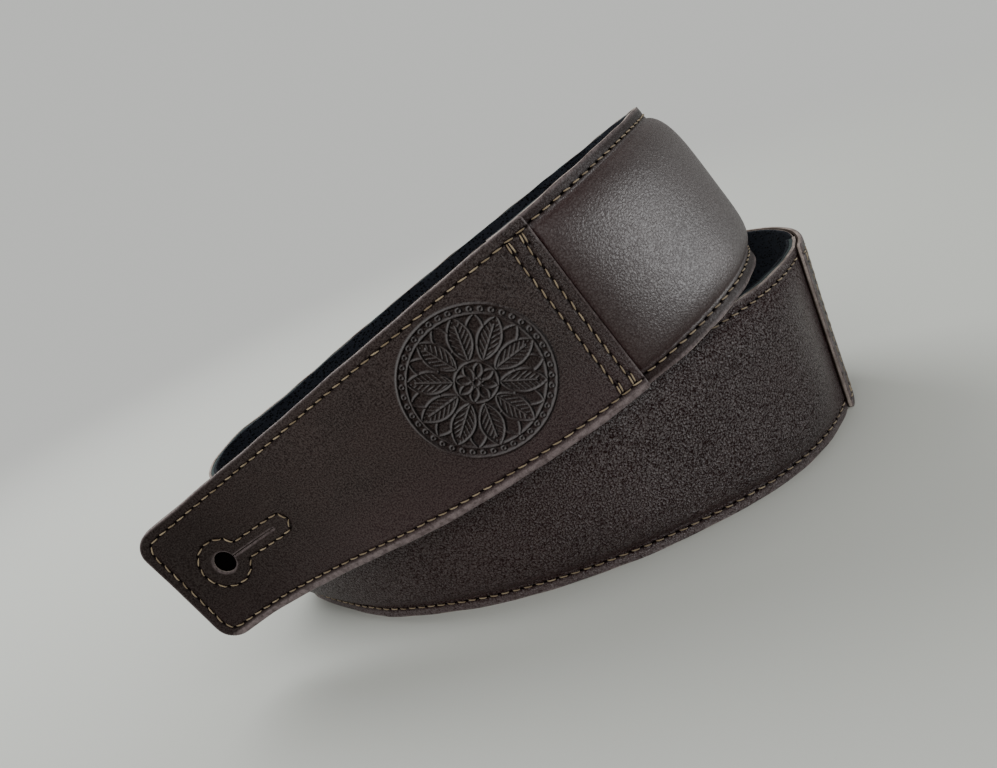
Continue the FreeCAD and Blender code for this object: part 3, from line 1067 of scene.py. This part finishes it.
def make_cover(paints):
    columns = mirrored(COVER_COLUMNS)

    def section(s):
        half = HALF + waves(s, 21, (19, 33, 58), 0.28)
        v = to_rim(columns, half)
        n = pad_surface(np.full(len(v), s), v)
        ring_v, ring_n, kinds = band_section(v, n, -COVER_LEATHER, half, 0.2)
        inner = inner_face(v)
        ring_n[inner] += PAD_CROWN * crown_share(ring_v[inner]) * pad_rise(s) * 0.96
        return ring_v, ring_n, kinds

    piece = band("pad_cover", pad_stations(), section, pad_marks)
    finish_piece(piece, "strap", paints, "pad_cover_leather")


def make_flat_band(name, outer, inner, seed, pillow, paints, node):
    """The spacer or the lining: a flat band whose inner face swells between seams."""
    stations = np.arange(PAD_START, PAD_END + 0.1, 2.0)
    stations[-1] = PAD_END
    columns = mirrored(LINING_COLUMNS)

    def section(s):
        half = HALF - 0.2 + waves(s, seed, (17, 29, 47), 0.3)
        v = to_rim(columns, half)
        n = np.full(len(v), outer)
        ring_v, ring_n, kinds = band_section(v, n, inner, half, 0.25)
        inner_v = ring_v[inner_face(v)]
        swell = -pillow * (1 - np.clip(np.abs(inner_v) / STITCH_ROW, 0, 1) ** 4)
        swell = swell + pillow * 0.8 * bump(np.abs(inner_v) - STITCH_ROW, 1.5)
        swell = swell + ripples(s, inner_v, seed + 5, 34, pillow * 0.4)
        ring_n[inner_face(v)] += swell
        return ring_v, ring_n, kinds

    finish_piece(band(name, stations, section), "strap", paints, node)


def make_foam_core(paint):
    stations = np.concatenate([np.arange(TAIL_SEAM_AT + 5, SEAM_AT - 5, 4.0), [SEAM_AT - 5]])

    def section(s):
        v = np.linspace(-FOAM_HALF, FOAM_HALF, 25)
        n = PAD_CROWN * 0.92 * crown_share(v) * pad_rise(s) - COVER_LEATHER
        return band_section(v, np.maximum(n, FOAM_LOWEST), -COVER_LEATHER, FOAM_HALF + 0.2, 0.05)

    piece = band("pad_foam", stations, section)
    finish_piece(piece, "strap", [paint] * 3, "pad_foam_core")


def make_end(name, half, span, corners, holes, toward, lines, fill, extra_height, paints,
             pressed=False):
    """The leather and the backing of the front tab or the tail."""
    leather_span, backing_span = span
    cuts = [lambda inset, at=at: button_hole(at, toward, inset) for at in holes]

    def ring(low, high):
        def loop(inset):
            line = outline(half, low, high, *corners, inset=inset)
            line[:, 1] *= 1 + waves(line[:, 0], 31, (21, 37, 64), 0.22) / HALF
            return line
        return loop

    def front(flat):
        return END_TOP + stitched(flat, lines) + extra_height(flat)

    def back(flat):
        return np.full(len(flat), END_LIFT) + ripples(flat[:, 0], flat[:, 1], 3, 40, 0.02)

    leather = cut_piece(f"{name}_outer_sheet", ring(*leather_span), cuts, lines, fill, front, back,
                        pressed)
    finish_piece(leather, name, paints["leather"], f"{name}_leather")

    def backing_front(flat):
        return np.full(len(flat), END_LIFT - LAYER_GAP)

    def backing_back(flat):
        rough = ripples(flat[:, 0], flat[:, 1], 6, 18, 0.10)
        return END_LIFT - LAYER_GAP - BACKING + rough

    low, high = backing_span
    keep = (fill[:, 0] > low + 1.5) & (fill[:, 0] < high - 1.5)
    slits = [lambda inset, at=at: slit(at, toward, inset) for at in holes]
    piece = cut_piece(f"{name}_inner_sheet", ring(low, high), slits, [], fill[keep][::3],
                      backing_front, backing_back)
    finish_piece(piece, name, paints["backing"], f"{name}_backing")


def uneven_leather(flat):
    return ripples(flat[:, 0], flat[:, 1], 17, 46, 0.16) + ripples(flat[:, 0], flat[:, 1], 5, 9, 0.02)


def end_thread_height(sunk):
    return lambda flat: END_TOP - sunk + uneven_leather(flat)


def make_tab(paints, thread):
    key = StitchLine(keyhole(HOLE_AT, -1, KEYHOLE_ROUND, KEYHOLE_NECK, KEYHOLE_REACH), closed=True)
    edge = StitchLine(edge_line(tab_half, SEAM_AT, TOTAL_LENGTH, TAB_CORNER))
    seams = seam_lines(SEAM_AT, 1)
    lines = [key, edge, *seams]
    pattern = rosette_fill()
    avoid = np.vstack([hole_rings(HOLE_AT, -1), pattern, *[line.mesh_points() for line in lines]])
    fill = np.vstack([pattern, grid_fill(tab_half, SEAM_AT, TOTAL_LENGTH, 1.5, avoid)])

    def relief(flat):
        return uneven_leather(flat) + 0.80 * rosette(flat) - 0.55 * rosette_disc(flat)

    make_end("tab", tab_half, ((SEAM_AT, TOTAL_LENGTH), (PAD_END + 0.4, TOTAL_LENGTH)),
             (CUT_CORNER, TAB_CORNER), [HOLE_AT], -1, lines, fill, relief, paints, True)
    for name, group in (("tab_keyhole", [key]), ("tab_edge", [edge]), ("tab_seam", seams)):
        add_stitching(name, "tab", group, end_thread_height(0.0), thread)


def make_tail(paints, thread):
    keys = [StitchLine(keyhole(at, 1, KEYHOLE_ROUND, KEYHOLE_NECK, KEYHOLE_REACH), closed=True)
            for at in TAIL_HOLES]
    edge = StitchLine(edge_line(tail_half, TAIL_SEAM_AT, 0.0, TAIL_CORNER))
    seams = seam_lines(TAIL_SEAM_AT, -1)
    lines = [*keys, edge, *seams]
    rings = [hole_rings(at, 1) for at in TAIL_HOLES]
    avoid = np.vstack([*rings, *[line.mesh_points() for line in lines]])
    fill = grid_fill(tail_half, 0.0, TAIL_SEAM_AT, 1.8, avoid)
    make_end("tail", tail_half, ((0.0, TAIL_SEAM_AT), (0.0, PAD_START - 0.4)),
             (TAIL_CORNER, CUT_CORNER), TAIL_HOLES, 1, lines, fill, uneven_leather, paints)
    groups = [("tail_edge", [edge]), ("tail_seam", seams)]
    groups += [(f"tail_keyhole_{k}", [line]) for k, line in enumerate(keys, 1)]
    for name, group in groups:
        add_stitching(name, "tail", group, end_thread_height(TAIL_THREAD_SUNK), thread)


def make_pad_thread(thread):
    for name, side in (("pad_upper", 1), ("pad_lower", -1)):
        v = side * STITCH_ROW
        line = StitchLine([(s, v) for s in PAD_SEWN])
        line.stitches = [((a[0], v), (b[0], v)) for a, b in line.stitches]
        add_stitching(name, "strap", [line], lambda flat: pad_sway(flat[:, 0]) - 0.05, thread)


# ---- set ----

CAMERA_AT = (8.26, -376.47, 182.5)
CAMERA_PITCH = 17.0
CAMERA_ROLL = 24.5
CAMERA_SHIFT = (-0.0015, -0.004)
FOCAL_PIXELS = 900.0
IMAGE_WIDTH = 997.0
SENSOR = 36.0


def make_camera():
    pitch, roll = math.radians(CAMERA_PITCH), math.radians(CAMERA_ROLL)
    level = Vector((1, 0, 0))
    look = Vector((0, math.cos(pitch), -math.sin(pitch)))
    upright = level.cross(look)
    right = level * math.cos(roll) - upright * math.sin(roll)
    up = level * math.sin(roll) + upright * math.cos(roll)
    data = bpy.data.cameras.new("camera")
    data.sensor_width = SENSOR
    data.lens = FOCAL_PIXELS * SENSOR / IMAGE_WIDTH
    data.shift_x, data.shift_y = CAMERA_SHIFT
    data.clip_start = 0.01
    camera = bpy.data.objects.new("camera", data)
    turn = Matrix((right, up, -look)).transposed().to_4x4()
    camera.matrix_world = Matrix.Translation(Vector(CAMERA_AT) * MM) @ turn
    bpy.context.scene.collection.objects.link(camera)
    bpy.context.scene.camera = camera


def make_floor():
    """A plain pale floor that fades into the even backdrop far from the strap."""
    mesh = bpy.data.meshes.new("floor")
    size = 8.0
    mesh.from_pydata([(-size, -size, 0), (size, -size, 0), (size, size, 0), (-size, size, 0)],
                     [], [(0, 1, 2, 3)])
    floor = bpy.data.objects.new("floor", mesh)
    bpy.context.scene.collection.objects.link(floor)
    p = Paint("pale floor", Base_Color=(0.66, 0.67, 0.64, 1.0), Roughness=1.0,
              Specular_IOR_Level=0.0)
    place = p.add("ShaderNodeNewGeometry").outputs["Position"]
    far = p.add("ShaderNodeVectorMath", {0: place}, operation="LENGTH").outputs["Value"]
    values = {"Value": far, "From Min": 0.25, "From Max": 1.1, "To Min": 1.0, "To Max": 0.0}
    fade = p.add("ShaderNodeMapRange", values, interpolation_type="SMOOTHSTEP")
    p.set("Alpha", fade.outputs["Result"])
    mesh.materials.append(p.material)


def area_light(name, place, target, size, power, tint=(1, 1, 1), sheen_only=False):
    data = bpy.data.lights.new(name, "AREA")
    data.shape = "RECTANGLE"
    data.size, data.size_y = size
    data.energy = power
    data.color = tint
    light = bpy.data.objects.new(name, data)
    light.visible_diffuse = not sheen_only
    light.location = place
    direction = Vector(target) - Vector(place)
    light.rotation_euler = direction.to_track_quat("-Z", "Y").to_euler()
    bpy.context.scene.collection.objects.link(light)


def make_lights():
    area_light("window", (0.85, -0.40, 0.145), (0, -0.04, 0.08), (0.72, 0.25), 10.0, (0.97, 0.99, 1.0),
               True)
    area_light("back left", (-0.65, 0.85, 1.0), (-0.05, 0, 0.06), (1.0, 1.0), 15, (0.98, 1.0, 0.98))
    area_light("front fill", (-0.45, -0.95, 0.85), (0, 0, 0.05), (0.9, 0.9), 3, (1.0, 0.98, 0.96))
    world = bpy.data.worlds.new("studio")
    world.use_nodes = True
    background = world.node_tree.nodes["Background"]
    background.inputs["Color"].default_value = (0.81, 0.82, 0.79, 1)
    background.inputs["Strength"].default_value = 0.80
    bpy.context.scene.world = world


# ---- scene ----

edge = edge_paint()
flesh = backing_paint()
thread = thread_paint()
mesh_fabric = mesh_paint()
# The backing's face, seen only through the button holes, is painted near black as shade.
end_paints = {"leather": [end_leather_paint(), edge, flesh],
              "backing": [shaded_paint(), edge, mesh_fabric]}
pad_paints = [pad_leather_paint(), edge, flesh]
spacer = foam_paint("spacer foam", (0.030, 0.042, 0.046), (0.085, 0.105, 0.108))
core = foam_paint("padding foam", (0.22, 0.21, 0.20), (0.34, 0.33, 0.31))

make_cover(pad_paints)
make_foam_core(core)
spacer_outer = -COVER_LEATHER - LAYER_GAP
mesh_outer = spacer_outer - SPACER_FOAM - LAYER_GAP
make_flat_band("lining_spacer", spacer_outer, spacer_outer - SPACER_FOAM, 41, 0.0,
               [spacer] * 3, "lining_spacer_foam")
make_flat_band("lining_fabric", mesh_outer, mesh_outer - LINING_MESH, 43, 0.35,
               [mesh_fabric] * 3, "lining_mesh")
make_pad_thread(thread)
make_tab(end_paints, thread)
make_tail(end_paints, thread)

make_camera()
make_floor()
make_lights()
